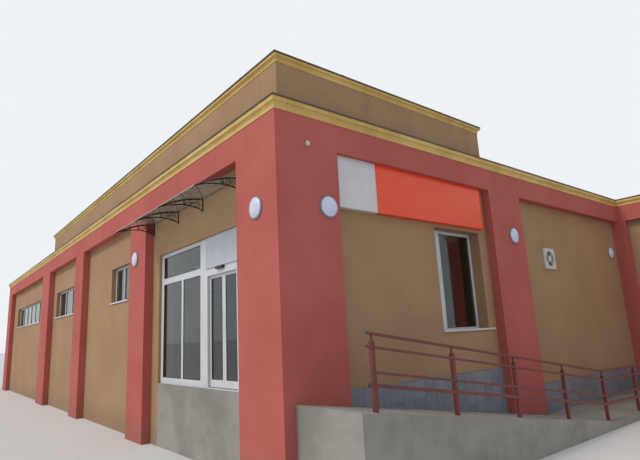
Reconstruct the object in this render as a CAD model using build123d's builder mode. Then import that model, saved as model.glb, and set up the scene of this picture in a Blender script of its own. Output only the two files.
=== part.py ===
from build123d import *
import os

# Single-storey supermarket hall with a raised front block, a side wing, an entrance with
# sliding doors under a wrought-iron canopy, and an access ramp with a railing. Millimetres.
# X = 0, Y = 0 is the arris of the corner pilaster: the front facade runs along -X in the plane
# Y = 0, the side facade along +Y in the plane X = 0, and Z = 0 is the shop floor. At the end
# all pieces move together, so that the origin lies under the middle of the building at the
# lowest ground.

# The hall
FRONT = 27700          # front facade, end to end
SIDE = 12950           # corner to the face of the wing
WING = 5600            # how far the wing stands out from the side facade
REAR = 18500           # corner to the rear face
GROUND = 1300          # the lowest ground lies this far below the shop floor
PROJ = 200             # pilasters and fascia stand out from the walls
WALL = 350             # wall thickness
SLAB = 200             # floor slab and roof slabs
SOFFIT = 3850          # underside of the fascia
FASCIA = 490           # height of the fascia
ATTIC_L = 16900        # raised front block: length, depth, height over the roof, wall
ATTIC_Y = 5900
ATTIC_H = 760
ATTIC_T = 250

# Pilasters: distance of the near edge from the corner, and width
CORNER_X = 1225        # corner pilaster along the front
CORNER_Y = 1250        # corner pilaster along the side
FRONT_PILS = [(5530, 1070), (11200, 1000), (16450, 1400)]
SIDE_PIL = (5760, 1300)
END_PIL = 1100         # end pilasters, and those of the hidden sides
WING_STRIP = 200       # the narrow one in the inner corner of the wing
REAR_BAYS = 6
LEFT_BAYS = 3

# Cornices: height, foot, reach and step of the profile, height of its fillet and of its cove
LOW_CORNICE = (200, 12, 62, 12, 36, 74)
TOP_CORNICE = (146, 10, 56, 12, 30, 50)
SHEET = 12             # flashing: thickness, turned-down edge and its reach past the cornice
DRIP = 16
LIP = 14

# Storefront, in the bay between the corner pilaster and the first one
SF_EDGE_L = 390        # distance from the pilasters
SF_EDGE_R = 325
SF_H = 2800
SF_BACK = 60           # behind the wall face
SF_T = 45              # depth of its sections
JAMB = 130
TOP_RAIL = 80
SF_RAIL = 110          # bottom rail
MULLION = (1095, 95)   # distance from the storefront's left end, and width
POST = (1990, 310)     # the broad post beside the door
TRANSOM = (2110, 140)  # underside and height
DOOR_H = 2055
DOOR_EDGE = 165        # door opening to the storefront's right end
HEADER = 135           # rail over the door, below the panel
PANEL_T = 24
SENSOR = (280, 55, 60, 76)      # width, height, depth, distance above the door
LEAF_GAP = 6           # between the frame and the leaves behind it
LEAF_T = 40
LEAF_Z = 10            # under the leaves
STILE = 60
LEAF_RAIL = 130
LEAF_TOP = 60
LEAF_PANE = 16
LAP = 5                # the leaves lap the edges of the opening
MEET_GAP = 6           # between the two leaves
CASE = (280, 180)      # operator case: height and depth
CASE_END = 20          # room for the open leaves inside the wall pocket
LIP_T = 10             # track lips: thickness and width of the slot between them
SLOT = 16
ROLLER_R = 27
ROLLER_W = 10
HANGER = (60, 6)       # width and thickness of the hanger plates
HANGER_IN = 90         # their distance from the ends of a leaf
RUN = 0.3              # running clearance of the rollers, and seat clearance of curved faces
THRESHOLD = 20

# Windows: sections, glass and bevel of all, then the front ones and the side one
SASH = 60
SASH_T = 70
BEVEL = 8
GLASS = 24
FW_SILL = 1970
FW_HEAD = 2950
FW_BACK = 120          # behind the wall face
FW = [(650, 1500), (700, 3000)]         # distance from the pilaster before, and width
FW_LAST = (1250, 1200)          # distances from the pilasters before and after
FW_LIGHTS = (2, 3, 6)  # number of lights in each row
SW_EDGE = 300          # distance from the side pilaster
SW_W = 1540
SW_SILL = 790
SW_HEAD = 2860
SW_BACK = 240
SW_MULLION = (310, 140)         # from the window's left edge, and width
SILL_END = 200         # the sill board runs on past the window
SILL_NOSE = 35
SILL_T = 22
SILL_DRIP = 14

# Canopy over the entrance
CAN_EDGE_R = 145       # end brackets to the pilasters, and the bays beside them
CAN_EDGE_L = 31
CAN_BAY_R = 1540
CAN_BAY_L = 1405
CAN_REACH = 900        # wall to the tip
CAN_UNDER = 247        # upper chord at the wall, below the soffit
CAN_DROP = 273         # its drop to the tip, and its control point
CAN_CROWN = (472, 38)
CAN_DEPTH = 233        # between the chords at the wall
CAN_BELLY = [(200, 85), (550, 120)]     # control points of the lower chord
BAR = 18               # curved bars: depth in the plane of the bracket and thickness across
BAR_T = 14
FOOT_PLATE = (40, 12, 30)       # plate on the wall: width, thickness, reach past the chords
SCROLL = 9             # scroll bars: depth and thickness, how far they bite into the chords
SCROLL_T = 11
BITE = 1.5
SCROLLS = (0.115, 0.275, 0.405)         # where they stand along the chords
COIL = (0.69, 0.40)    # second and third radius of a scroll, as shares of the first
EYE = 9
CAN_SHEET = 5
CAN_SIDE = 15          # the sheet runs past the end brackets

# Sign, lamps, vent and round fitting
SIGN_EDGE_L = 85       # distances from the pilasters
SIGN_EDGE_R = 240
SIGN_SEAM = 900        # width of the pale panel
SIGN_H = 920
SIGN_T = 110
SIGN_RIM = (18, 5, 10) # rim width, recess of the face, corner radius
LAMP_Z = 2865
LAMP_R = 188
LAMP_RIM = (22, 26, 8) # width and depth of the rim, thickness of the back
LAMP_DOME = (24, 46)   # straight part and dome
LAMP_CORNER = (590, 1000)       # distances from the corner, along the front and the side
LAMP_PIL = (660, 830)  # distances from the near edges of the first pilasters
LAMP_WING = 450        # distance from the wing, on the wall of the second side bay
VENT = (1160, 540, 2190, 530)   # distance from the side pilaster, width, underside, height
VENT_T = 50
VENT_R = 190
VENT_HUB = 72
VENT_BACK = 10
VENT_SPOKE = 9
VENT_CORNER = 20
FITTING = (620, 3875, 45, 52)   # distance along the side, height, radius, depth

# Grey plinth of the side bays, access ramp and railing
PLINTH_T = 30
PLINTH_1 = -30         # top of the plinth in the first bay and in the second
PLINTH_2 = -530
RAMP_W = 1350
RAMP_HEAD = -85        # its heights at the front wall, past the side pilaster and at the wing
RAMP_BREAK = -1148.3
RAMP_END = -1220
RAIL_BACK = 100        # centre of the railing behind the ramp's edge
POST_W = 60
POST_R = 6
POST_FIRST = 530
POST_PITCH = 1630
POST_H = 875
POST_SET = 60          # how deep the posts are cast in
STEM = 24
HAND_H = 975           # centre of the handrail over the ramp, its section and its start
HAND = 40
HAND_R = 8
HAND_START = 450
RAILS = [(800, 34, 390), (490, 34, 500), (330, 50, 400)]    # height, depth and start
RAIL_T = 30
RAIL_R = 5
RAIL_END = 60          # the rails stop short of the wing

CAN_TOP = SOFFIT - CAN_UNDER
CAN_FOOT = CAN_TOP - CAN_DEPTH
CORN_Z = SOFFIT + FASCIA
ROOF_Z = CORN_Z + SLAB
ATTIC_Z = ROOF_Z + ATTIC_H
W0 = PROJ              # outer and inner face of the walls, measured from the facade planes
W1 = PROJ + WALL
SF_L = SF_EDGE_L - FRONT_PILS[0][0]
SF_R = -CORNER_X - SF_EDGE_R
SF_Y = W0 + SF_BACK                     # outer face of the storefront sections
SF_IN = SF_Y + SF_T                     # their inner face
POST_L = SF_L + POST[0]
DOOR_L = POST_L + POST[1]
DOOR_R = SF_R - DOOR_EDGE
MEET = (DOOR_L + DOOR_R) / 2
TRAVEL = (DOOR_R - DOOR_L - STILE) / 2  # travel of each leaf
LEAF_Y = SF_IN + LEAF_GAP
CASE_Z = DOOR_H + LAP
CASE_L = DOOR_L - LAP - TRAVEL - CASE_END
CASE_R = DOOR_R + LAP + TRAVEL + CASE_END
SIDE_PIL_END = SIDE_PIL[0] + SIDE_PIL[1]
SW_R = SIDE_PIL[0] - SW_EDGE
SW_L = SW_R - SW_W
MIN3 = (Align.MIN, Align.MIN, Align.MIN)
pieces = {}


def slab(x0, x1, y0, y1, z0, z1, mode=Mode.ADD):
    """Block between two corners."""
    with Locations((x0, y0, z0)):
        Box(x1 - x0, y1 - y0, z1 - z0, align=MIN3, mode=mode)


def across(x):
    """Plane square to the front facade at x, with Y to its right and Z up."""
    return Plane(origin=(x, 0, 0), x_dir=(0, 1, 0), z_dir=(1, 0, 0))


def hall(d):
    """Plan outline of the hall and its wing, moved outward by d."""
    left, right, back = -FRONT - d, WING + d, REAR + d
    return [(left, -d), (d, -d), (d, SIDE - d), (right, SIDE - d), (right, back), (left, back)]


def attic(d):
    """Plan outline of the raised block, moved outward by d."""
    left, right, front, back = -ATTIC_L - d, -W0 + d, W0 - d, ATTIC_Y + d
    return [(left, front), (right, front), (right, back), (left, back)]


def band(outline, d_in, d_out, z0, z1):
    """Level band between two offsets of an outline."""
    with BuildSketch(Plane.XY.offset(z0)) as ring:
        with BuildLine():
            Polyline(outline(d_out), close=True)
        make_face()
        with BuildLine():
            Polyline(outline(d_in), close=True)
        make_face(mode=Mode.SUBTRACT)
    extrude(ring.sketch, amount=z1 - z0)


# Walls, with the openings cut through them
windows = []
for pilaster, (edge, width), lights in zip(FRONT_PILS, FW, FW_LIGHTS):
    near = -sum(pilaster) - edge
    windows.append((near - width, near, lights))
windows.append((-FRONT + END_PIL + FW_LAST[1], -sum(FRONT_PILS[-1]) - FW_LAST[0], FW_LIGHTS[-1]))

with BuildPart() as wall_front_left:
    slab(-FRONT + W0, SF_L, W0, W1, -GROUND, CORN_Z)
    for left, right, lights in windows:
        slab(left, right, W0, W1, FW_SILL, FW_HEAD, Mode.SUBTRACT)
pieces["wall_front_left"] = wall_front_left

with BuildPart() as wall_front_head:
    slab(SF_L, SF_R, W0, W1, SF_H, CORN_Z)
pieces["wall_front_head"] = wall_front_head

with BuildPart() as wall_front_right:
    slab(SF_R, -W0, W0, W1, -GROUND, CORN_Z)
    slab(SF_R, CASE_R, SF_IN, W1, 0, CASE_Z + CASE[0], Mode.SUBTRACT)
pieces["wall_front_right"] = wall_front_right

with BuildPart() as wall_side:
    slab(-W1, -W0, W1, SIDE + W0, -GROUND, CORN_Z)
    slab(-W1, -W0, SW_L, SW_R, SW_SILL, SW_HEAD, Mode.SUBTRACT)
pieces["wall_side"] = wall_side

with BuildPart() as wall_wing_front:
    slab(-W0, WING - W0, SIDE + W0, SIDE + W1, -GROUND, CORN_Z)
pieces["wall_wing_front"] = wall_wing_front

with BuildPart() as wall_wing_side:
    slab(WING - W1, WING - W0, SIDE + W1, REAR - W0, -GROUND, CORN_Z)
pieces["wall_wing_side"] = wall_wing_side

with BuildPart() as wall_rear:
    slab(-FRONT + W0, WING - W1, REAR - W1, REAR - W0, -GROUND, CORN_Z)
pieces["wall_rear"] = wall_rear

with BuildPart() as wall_left:
    slab(-FRONT + W0, -FRONT + W1, W1, REAR - W1, -GROUND, CORN_Z)
pieces["wall_left"] = wall_left

with BuildPart() as entrance_footing:
    slab(SF_L, SF_R, W0, W1, -GROUND, -THRESHOLD)
pieces["entrance_footing"] = entrance_footing

with BuildPart() as floor_slab:
    slab(-FRONT + W1, -W1, W1, REAR - W1, -SLAB, 0)
    slab(-W1, WING - W1, SIDE + W1, REAR - W1, -SLAB, 0)
pieces["floor_slab"] = floor_slab

# Pilasters and fascia
with BuildPart() as corner_pilaster:
    slab(-CORNER_X, 0, 0, W0, -GROUND, SOFFIT)
    slab(-W0, 0, W0, CORNER_Y, -GROUND, SOFFIT)
pieces["corner_pilaster"] = corner_pilaster

with BuildPart() as front_pilasters:
    for near, width in FRONT_PILS:
        slab(-near - width, -near, 0, W0, -GROUND, SOFFIT)
    slab(-FRONT, -FRONT + END_PIL, 0, W0, -GROUND, SOFFIT)
    slab(-FRONT, -FRONT + W0, W0, END_PIL, -GROUND, SOFFIT)
pieces["front_pilasters"] = front_pilasters

with BuildPart() as side_pilaster:
    slab(-W0, 0, SIDE_PIL[0], SIDE_PIL_END, -GROUND, SOFFIT)
pieces["side_pilaster"] = side_pilaster

with BuildPart() as wing_pilasters:
    slab(-W0, WING_STRIP, SIDE, SIDE + W0, -GROUND, SOFFIT)
    slab(WING - END_PIL, WING, SIDE, SIDE + W0, -GROUND, SOFFIT)
    slab(WING - W0, WING, SIDE + W0, SIDE + END_PIL, -GROUND, SOFFIT)
pieces["wing_pilasters"] = wing_pilasters

REAR_PITCH = (FRONT + WING - END_PIL) / REAR_BAYS
with BuildPart() as rear_pilasters:
    slab(-FRONT, -FRONT + W0, REAR - END_PIL, REAR - W0, -GROUND, SOFFIT)
    slab(WING - W0, WING, REAR - END_PIL, REAR - W0, -GROUND, SOFFIT)
    for bay in range(REAR_BAYS + 1):
        left = -FRONT + bay * REAR_PITCH
        slab(left, left + END_PIL, REAR - W0, REAR, -GROUND, SOFFIT)
pieces["rear_pilasters"] = rear_pilasters

LEFT_PITCH = (REAR - END_PIL) / LEFT_BAYS
with BuildPart() as left_pilasters:
    for bay in range(1, LEFT_BAYS):
        near = bay * LEFT_PITCH
        slab(-FRONT, -FRONT + W0, near, near + END_PIL, -GROUND, SOFFIT)
pieces["left_pilasters"] = left_pilasters

with BuildPart() as fascia:
    band(hall, -W0, 0, SOFFIT, CORN_Z)
pieces["fascia"] = fascia


# Cornices, flashings and roofs
def cornice(outline, depth, z, profile):
    """Moulding swept round an outline: a fillet, a cove that swings out, a step and a flat face."""
    height, foot, reach, step, fillet_h, cove_h = profile
    corners = outline(0)
    middle = (corners[0][0] + corners[1][0]) / 2
    start = (middle, corners[0][1])
    lip = fillet_h + cove_h
    with BuildLine() as path:
        Polyline([start, *corners[1:], corners[0]], close=True)
    with BuildSketch(Plane(origin=(*start, z), x_dir=(0, -1, 0), z_dir=(-1, 0, 0))) as moulding:
        with BuildLine():
            Polyline((reach - step, lip), (reach, lip), (reach, height), (-depth, height),
                     (-depth, 0), (foot, 0), (foot, fillet_h))
            TangentArc((foot, fillet_h), (reach - step, lip), tangent=(0, 1))
        make_face()
    sweep(sections=moulding.sketch, path=path.line, transition=Transition.RIGHT)


def flashing(outline, depth, reach, z):
    """Sheet over a cornice, with its outer edge turned down."""
    band(outline, -depth, reach + LIP, z, z + SHEET)
    band(outline, reach + LIP - SHEET, reach + LIP, z - DRIP, z)


with BuildPart() as lower_cornice:
    cornice(hall, W0, CORN_Z, LOW_CORNICE)
pieces["lower_cornice"] = lower_cornice

with BuildPart() as lower_flashing:
    flashing(hall, W0, LOW_CORNICE[2], CORN_Z + LOW_CORNICE[0])
pieces["lower_flashing"] = lower_flashing

with BuildPart() as main_roof:
    with BuildSketch(Plane.XY.offset(CORN_Z)):
        with BuildLine():
            Polyline(hall(-W0), close=True)
        make_face()
    extrude(amount=SLAB)
pieces["main_roof"] = main_roof

with BuildPart() as attic_walls:
    band(attic, -ATTIC_T, 0, ROOF_Z, ATTIC_Z)
pieces["attic_walls"] = attic_walls

with BuildPart() as upper_cornice:
    cornice(attic, ATTIC_T, ATTIC_Z, TOP_CORNICE)
pieces["upper_cornice"] = upper_cornice

with BuildPart() as upper_flashing:
    flashing(attic, ATTIC_T, TOP_CORNICE[2], ATTIC_Z + TOP_CORNICE[0])
pieces["upper_flashing"] = upper_flashing

with BuildPart() as high_roof:
    slab(-ATTIC_L + ATTIC_T, -W0 - ATTIC_T, W0 + ATTIC_T, ATTIC_Y - ATTIC_T, ATTIC_Z - SLAB, ATTIC_Z)
pieces["high_roof"] = high_roof


# Storefront and windows
def light(face, depth, left, right, low, high):
    """Glazed opening cut through a frame from its outer face, with a bevelled edge."""
    with BuildSketch(face) as opening:
        with Locations(((left + right) / 2, (low + high) / 2)):
            Rectangle(right - left, high - low)
    extrude(opening.sketch, amount=-depth, mode=Mode.SUBTRACT)
    with BuildSketch(face) as edge:
        with Locations(((left + right) / 2, (low + high) / 2)):
            Rectangle(right - left + 2 * BEVEL, high - low + 2 * BEVEL)
    extrude(edge.sketch, amount=-BEVEL, taper=45, mode=Mode.SUBTRACT)


def facing_front(y):
    """Plane that faces the street, with X to its right and Z up."""
    return Plane(origin=(0, y, 0), x_dir=(1, 0, 0), z_dir=(0, -1, 0))


def facing_side(x):
    """Plane that faces the side yard, with Y to its right and Z up."""
    return Plane(origin=(x, 0, 0), x_dir=(0, 1, 0), z_dir=(1, 0, 0))


HEAD_LOW = TRANSOM[0] + TRANSOM[1]
GLASS_L = SF_L + JAMB
MULL_L = SF_L + MULLION[0]
MULL_R = MULL_L + MULLION[1]
SF_LIGHTS = [(GLASS_L, MULL_L, SF_RAIL, TRANSOM[0]), (MULL_R, POST_L, SF_RAIL, TRANSOM[0]),
             (GLASS_L, POST_L, HEAD_LOW, SF_H - TOP_RAIL)]
with BuildPart() as storefront_frame:
    slab(SF_L, SF_R, SF_Y, SF_IN, -THRESHOLD, SF_H)
    for sides in SF_LIGHTS:
        light(facing_front(SF_Y), SF_T, *sides)
    slab(DOOR_L, DOOR_R, SF_Y, SF_IN, 0, DOOR_H, Mode.SUBTRACT)
pieces["storefront_frame"] = storefront_frame

PANE_Y = SF_Y + (SF_T - GLASS) / 2
with BuildPart() as storefront_glass:
    for left, right, low, high in SF_LIGHTS:
        slab(left, right, PANE_Y, PANE_Y + GLASS, low, high)
pieces["storefront_glass"] = storefront_glass

with BuildPart() as header_panel:
    slab(DOOR_L - STILE / 2, SF_R, SF_Y - PANEL_T, SF_Y, DOOR_H + HEADER, SF_H)
    chamfer(header_panel.faces().sort_by(Axis.Y)[0].edges(), PANEL_T / 4)
pieces["header_panel"] = header_panel

with BuildPart() as door_sensor:
    with BuildSketch(facing_front(SF_Y)):
        with Locations((MEET, DOOR_H + SENSOR[3] + SENSOR[1] / 2)):
            SlotOverall(SENSOR[0], SENSOR[1])
    extrude(amount=SENSOR[2])
    fillet(door_sensor.faces().sort_by(Axis.Y)[0].edges(), SENSOR[1] / 5)
pieces["door_sensor"] = door_sensor

# Doors: the rollers of each leaf run on the lips of the slotted operator case
TRACK_Y = LEAF_Y + LEAF_T / 2
TRACK_Z = CASE_Z + LIP_T
with BuildPart() as door_operator:
    slab(CASE_L, CASE_R, SF_IN, SF_IN + CASE[1], CASE_Z, CASE_Z + CASE[0])
    hollow = ROLLER_W + SLOT / 2
    slab(CASE_L + LIP_T, CASE_R - LIP_T, TRACK_Y - hollow, TRACK_Y + hollow,
         TRACK_Z, TRACK_Z + 3 * ROLLER_R, Mode.SUBTRACT)
    slab(CASE_L + LIP_T, CASE_R - LIP_T, TRACK_Y - SLOT / 2, TRACK_Y + SLOT / 2,
         CASE_Z, TRACK_Z, Mode.SUBTRACT)
pieces["door_operator"] = door_operator

for side, left, right in (("left", DOOR_L - LAP, MEET - MEET_GAP / 2),
                          ("right", MEET + MEET_GAP / 2, DOOR_R + LAP)):
    opening = (left + STILE, right - STILE, LEAF_Z + LEAF_RAIL, DOOR_H - LEAF_TOP)
    with BuildPart() as leaf:
        slab(left, right, LEAF_Y, LEAF_Y + LEAF_T, LEAF_Z, DOOR_H)
        light(facing_front(LEAF_Y), LEAF_T, *opening)
        for x in (left + HANGER_IN, right - HANGER_IN):
            axle = TRACK_Z + RUN + ROLLER_R
            slab(x - HANGER[0] / 2, x + HANGER[0] / 2, TRACK_Y - HANGER[1] / 2, TRACK_Y + HANGER[1] / 2,
                 DOOR_H, axle + LIP_T)
            with BuildSketch(facing_front(TRACK_Y)) as roller:
                with Locations((x, axle)):
                    Circle(ROLLER_R)
            extrude(roller.sketch, amount=HANGER[1] / 2 + ROLLER_W, both=True)
    pieces[f"door_leaf_{side}"] = leaf
    with BuildPart() as pane:
        y = TRACK_Y - LEAF_PANE / 2
        slab(opening[0], opening[1], y, y + LEAF_PANE, opening[2], opening[3])
    pieces[f"door_glass_{side}"] = pane

with BuildPart() as threshold:
    slab(SF_L, SF_R, SF_IN, W1, -THRESHOLD, 0)
pieces["threshold"] = threshold



# Front windows: rows of equal lights, on sill boards with a turned-down nose
def sill_section(back, wall, out, low):
    """Section of a sill board, from its back edge to the nose past the wall face."""
    tip = wall + out * SILL_NOSE
    inner = tip - out * SILL_T / 2
    return [(back, low), (inner, low), (inner, low - SILL_DRIP), (tip, low - SILL_DRIP),
            (tip, low + SILL_T), (back, low + SILL_T)]


FW_Y = W0 + FW_BACK
front_lights = []
for left, right, lights in windows:
    pitch = (right - left - SASH) / lights
    for i in range(lights):
        near = left + SASH + i * pitch
        front_lights.append((near, near + pitch - SASH, FW_SILL + SASH, FW_HEAD - SASH))

with BuildPart() as front_window_frames:
    for left, right, lights in windows:
        slab(left, right, FW_Y, FW_Y + SASH_T, FW_SILL, FW_HEAD)
        with BuildSketch(across(left)) as board:
            with BuildLine():
                Polyline(sill_section(FW_Y, W0, -1, FW_SILL), close=True)
            make_face()
        extrude(board.sketch, amount=right - left)
    for sides in front_lights:
        light(facing_front(FW_Y), SASH_T, *sides)
pieces["front_window_frames"] = front_window_frames

with BuildPart() as front_window_glass:
    y = FW_Y + (SASH_T - GLASS) / 2
    for left, right, low, high in front_lights:
        slab(left, right, y, y + GLASS, low, high)
pieces["front_window_glass"] = front_window_glass

# Side window: a narrow light and a wide one, on a sill board that runs on past it
SW_X = -W0 - SW_BACK
SW_SPLIT = SW_L + SW_MULLION[0]
side_lights = [(SW_L + SASH, SW_SPLIT), (SW_SPLIT + SW_MULLION[1], SW_R - SASH)]
with BuildPart() as side_window_frame:
    slab(SW_X - SASH_T, SW_X, SW_L, SW_R, SW_SILL, SW_HEAD)
    for near, far in side_lights:
        light(facing_side(SW_X), SASH_T, near, far, SW_SILL + SASH, SW_HEAD - SASH)
pieces["side_window_frame"] = side_window_frame

with BuildPart() as side_window_glass:
    x = SW_X - (SASH_T + GLASS) / 2
    for near, far in side_lights:
        slab(x, x + GLASS, near, far, SW_SILL + SASH, SW_HEAD - SASH)
pieces["side_window_glass"] = side_window_glass

with BuildPart() as side_window_sill:
    slab(SW_X, -W0, SW_L, SW_R, SW_SILL, SW_SILL + SILL_T)
    with BuildSketch(Plane.XZ.offset(-SW_R - SILL_END)):
        with BuildLine():
            Polyline(sill_section(-W0, -W0, 1, SW_SILL), close=True)
        make_face()
    extrude(amount=SW_W + SILL_END)
pieces["side_window_sill"] = side_window_sill

# Canopy: each bracket is two curved chords on a wall plate, with scrolls between them
CAN_FIRST = -CORNER_X - CAN_EDGE_R
CAN_LAST = CAN_EDGE_L - FRONT_PILS[0][0]
bracket_places = [CAN_FIRST, CAN_FIRST - CAN_BAY_R, CAN_LAST + CAN_BAY_L, CAN_LAST]
ROOT = W0 - FOOT_PLATE[1] / 2
TIP = (W0 - CAN_REACH, CAN_TOP - CAN_DROP)
with BuildLine(across(0)) as upper_chord:
    Bezier((ROOT, CAN_TOP), (W0 - CAN_CROWN[0], CAN_TOP - CAN_CROWN[1]), TIP)
with BuildLine(across(0)) as lower_chord:
    Bezier((ROOT, CAN_FOOT), *[(W0 - out, CAN_FOOT + up) for out, up in CAN_BELLY], TIP)


def bar(path, depth, thickness):
    """Flat bar that follows a curve in the plane of the bracket."""
    with BuildSketch(Plane(origin=path @ 0, x_dir=(1, 0, 0), z_dir=path % 0)) as section:
        Rectangle(thickness, depth)
    sweep(sections=section.sketch, path=path)


def scroll(u, v, r, turn):
    """Bar wound inward in three tightening arcs, from the chord it leaves to a round eye."""
    r2 = COIL[0] * r
    r3 = COIL[1] * r
    v2 = v - turn * (r - r2)
    v3 = v2 + turn * (r2 - r3)
    with BuildLine(across(0)) as coil:
        CenterArc((u, v), r, 90 * turn, 180 * turn)
        CenterArc((u, v2), r2, -90 * turn, 180 * turn)
        CenterArc((u, v3), r3, 90 * turn, 270 * turn)
    bar(coil.wire(), SCROLL, SCROLL_T)
    with BuildSketch(across(0)) as eye:
        with Locations((u + r3, v3)):
            Circle(EYE)
    extrude(eye.sketch, amount=BAR_T / 2, both=True)


with BuildPart() as bracket:
    width, thickness, reach = FOOT_PLATE
    slab(-width / 2, width / 2, W0 - thickness, W0, CAN_FOOT - reach, CAN_TOP + reach)
    bar(upper_chord.edge(), BAR, BAR_T)
    bar(lower_chord.edge(), BAR, BAR_T)
    turn = 1
    for place in SCROLLS:
        top = upper_chord.edge() @ place
        low = lower_chord.edge() @ place
        middle = (top + low) / 2
        scroll(middle.Y, middle.Z, ((top - low).length - BAR - SCROLL) / 2 + BITE, turn)
        turn = -turn

with BuildPart() as canopy_brackets:
    with Locations(*[(x, 0, 0) for x in bracket_places]):
        add(bracket.part)
pieces["canopy_brackets"] = canopy_brackets

with BuildPart() as canopy_sheet:
    chord = upper_chord.edge()
    with BuildSketch(Plane(origin=chord @ 0, x_dir=(1, 0, 0), z_dir=chord % 0)):
        with Locations(((CAN_FIRST + CAN_LAST) / 2, BAR / 2 + RUN + CAN_SHEET / 2)):
            Rectangle(CAN_FIRST - CAN_LAST + 2 * CAN_SIDE, CAN_SHEET)
    sweep(path=chord)
    slab(CAN_LAST - CAN_SIDE, CAN_FIRST + CAN_SIDE, W0 - FOOT_PLATE[1] - RUN, W0,
         CAN_TOP - CAN_DROP, CAN_TOP + CAN_DROP, Mode.SUBTRACT)
pieces["canopy_sheet"] = canopy_sheet


# Sign cases with a raised rim, in the first side bay under the fascia
def sign_case(near, far):
    """Shallow case on the wall with a recessed face and rounded corners."""
    rim, recess, corner = SIGN_RIM
    low = SOFFIT - SIGN_H
    slab(-W0, -W0 + SIGN_T, near, far, low, SOFFIT)
    with BuildSketch(facing_side(-W0 + SIGN_T)) as face:
        with Locations(((near + far) / 2, (low + SOFFIT) / 2)):
            RectangleRounded(far - near - 2 * rim, SIGN_H - 2 * rim, corner)
    extrude(face.sketch, amount=-recess, mode=Mode.SUBTRACT)


SIGN_L = CORNER_Y + SIGN_EDGE_L
with BuildPart() as sign_panel_light:
    sign_case(SIGN_L, SIGN_L + SIGN_SEAM)
pieces["sign_panel_light"] = sign_panel_light

with BuildPart() as sign_panel_orange:
    sign_case(SIGN_L + SIGN_SEAM, SIDE_PIL[0] - SIGN_EDGE_R)
pieces["sign_panel_orange"] = sign_panel_orange

# Round wall lights: a shallow dish on the wall and an opal dome inside its rim
to_front = (0, -1, 0)
to_side = (1, 0, 0)
lamps = [((-LAMP_CORNER[0], 0, LAMP_Z), to_front), ((-FRONT_PILS[0][0] - LAMP_PIL[0], 0, LAMP_Z), to_front),
         ((0, LAMP_CORNER[1], LAMP_Z), to_side), ((0, SIDE_PIL[0] + LAMP_PIL[1], LAMP_Z), to_side),
         ((-W0, SIDE - LAMP_WING, LAMP_Z), to_side)]


def radial(at, outward):
    """Plane through the axis of a round piece: radius upward, depth along the axis."""
    return Plane(origin=at, x_dir=(0, 0, 1), z_dir=Vector(0, 0, 1).cross(Vector(*outward)))


with BuildPart() as lamp_bases:
    rim, depth, back = LAMP_RIM
    for at, outward in lamps:
        with BuildSketch(radial(at, outward)) as dish:
            with BuildLine():
                Polyline((LAMP_R, depth - rim / 2), (LAMP_R, 0), (0, 0), (0, back), (LAMP_R - rim, back),
                         (LAMP_R - rim, depth - rim / 2))
                CenterArc((LAMP_R - rim / 2, depth - rim / 2), rim / 2, 0, 180)
            make_face()
        revolve(dish.sketch, axis=Axis(at, outward))
pieces["lamp_bases"] = lamp_bases

with BuildPart() as lamp_globes:
    radius = LAMP_R - LAMP_RIM[0] - RUN
    foot = LAMP_RIM[2]
    shoulder = foot + LAMP_DOME[0]
    for at, outward in lamps:
        with BuildSketch(radial(at, outward)) as dome:
            with BuildLine():
                top = (0, shoulder + LAMP_DOME[1])
                Polyline(top, (0, foot), (radius, foot), (radius, shoulder))
                TangentArc(top, (radius, shoulder), tangent=(1, 0))
            make_face()
        revolve(dome.sketch, axis=Axis(at, outward))
pieces["lamp_globes"] = lamp_globes

# Vent: a plate with a round opening, and a hub on four spokes
with BuildPart() as vent_plate:
    edge, width, low, height = VENT
    at = (SIDE_PIL_END + edge + width / 2, low + height / 2)
    with BuildSketch(facing_side(-W0)):
        with Locations(at):
            RectangleRounded(width, height, VENT_CORNER)
    extrude(amount=VENT_T)
    chamfer(vent_plate.faces().sort_by(Axis.X)[-1].edges(), VENT_CORNER / 4)
    with BuildSketch(facing_side(-W0 + VENT_T)):
        with Locations(at):
            Circle(VENT_R)
            Circle(VENT_HUB, mode=Mode.SUBTRACT)
            with PolarLocations((VENT_R + VENT_HUB) / 2, 4, start_angle=45):
                Rectangle(VENT_R - VENT_HUB + VENT_SPOKE, VENT_SPOKE, mode=Mode.SUBTRACT)
    extrude(amount=-VENT_T + VENT_BACK, mode=Mode.SUBTRACT)
pieces["vent_plate"] = vent_plate

with BuildPart() as alarm_fitting:
    y, z, radius, depth = FITTING
    with BuildSketch(radial((0, y, z), to_side)):
        with BuildLine():
            Polyline((0, depth), (0, 0), (radius, 0), (radius, depth / 2))
            TangentArc((0, depth), (radius, depth / 2), tangent=(1, 0))
        make_face()
    revolve(axis=Axis((0, y, z), to_side))
pieces["alarm_fitting"] = alarm_fitting

# Plinth cladding of the side bays
PLINTH_X = -W0 + PLINTH_T
with BuildPart() as plinth_cladding:
    slab(-W0, PLINTH_X, CORNER_Y, SIDE_PIL[0], -GROUND, PLINTH_1)
    slab(-W0, PLINTH_X, SIDE_PIL_END, SIDE, -GROUND, PLINTH_2)
pieces["plinth_cladding"] = plinth_cladding

# Access ramp and railing
RAIL_X = RAMP_W - RAIL_BACK
POST_X = RAIL_X + POST_W / 2
post_count = int((SIDE - POST_FIRST) / POST_PITCH) + 1
posts = [POST_FIRST + i * POST_PITCH for i in range(post_count)]


def ramp_at(y):
    """Height of the ramp: a steady fall to the side pilaster, then nearly level."""
    if y < SIDE_PIL_END:
        return RAMP_HEAD + (RAMP_BREAK - RAMP_HEAD) * (y - W0) / (SIDE_PIL_END - W0)
    return RAMP_BREAK + (RAMP_END - RAMP_BREAK) * (y - SIDE_PIL_END) / (SIDE - SIDE_PIL_END)


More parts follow.
